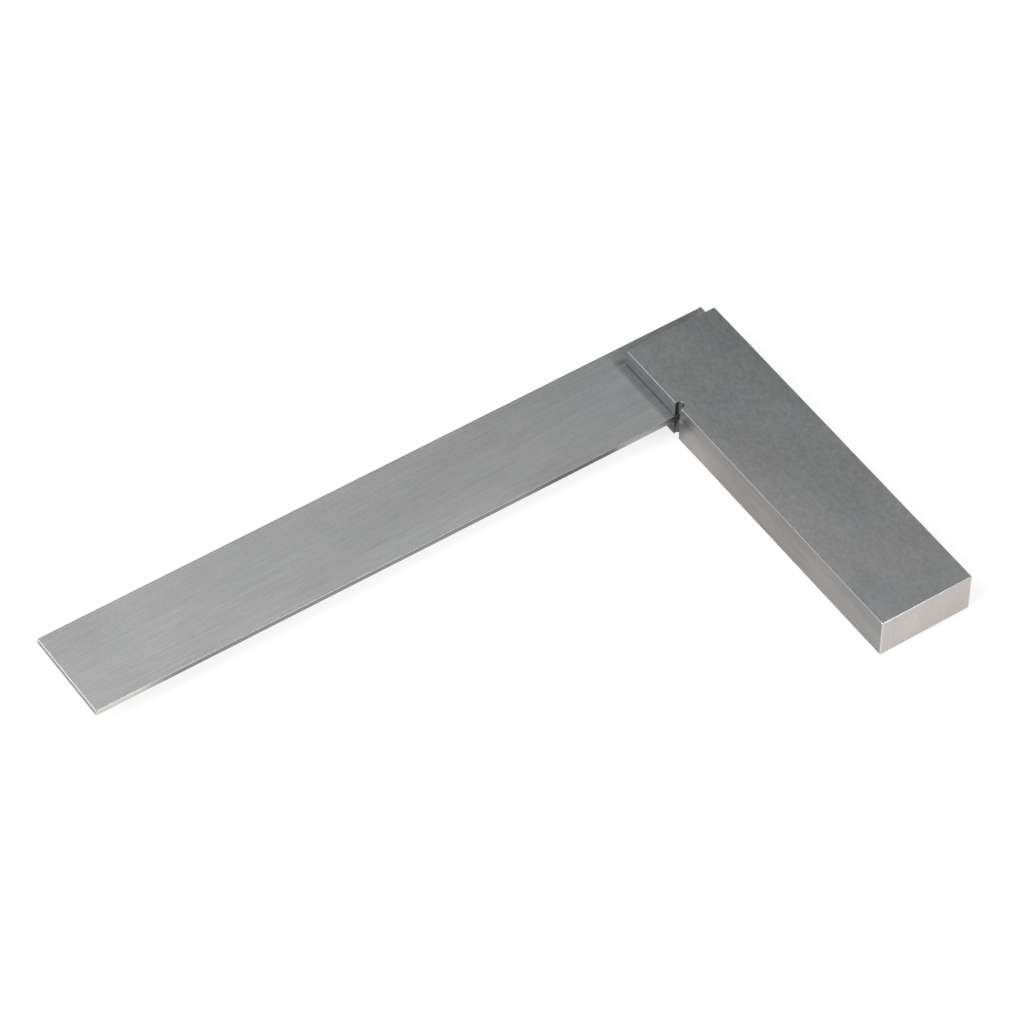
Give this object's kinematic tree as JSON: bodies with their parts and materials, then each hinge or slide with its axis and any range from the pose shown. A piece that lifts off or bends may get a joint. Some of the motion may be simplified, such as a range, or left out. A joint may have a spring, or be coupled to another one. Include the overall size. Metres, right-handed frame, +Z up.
{
  "type": "steel square",
  "caption": "Fixed steel try square: a thin brushed blade let into the slotted end of a thick ground stock at a right angle, with a relief hole at the inside corner.",
  "frame": {"origin": "under the middle of the whole square, level with the underside of the stock", "axes": "+X from the blade's tip towards the stock, +Y from the stock's free end towards the blade, +Z up through the thickness"},
  "size_m": [0.174, 0.1, 0.0104],
  "materials": {
    "ground_steel": "surface ground, satin, lightly mottled",
    "brushed_steel": "brushed lengthwise, satin",
    "pin_steel": "ground flush with the stock"
  },
  "bodies": {
    "root": {"stock": "ground_steel", "blade": "brushed_steel", "inner_pin": "pin_steel", "middle_pin": "pin_steel", "outer_pin": "pin_steel"}
  },
  "joints": []
}
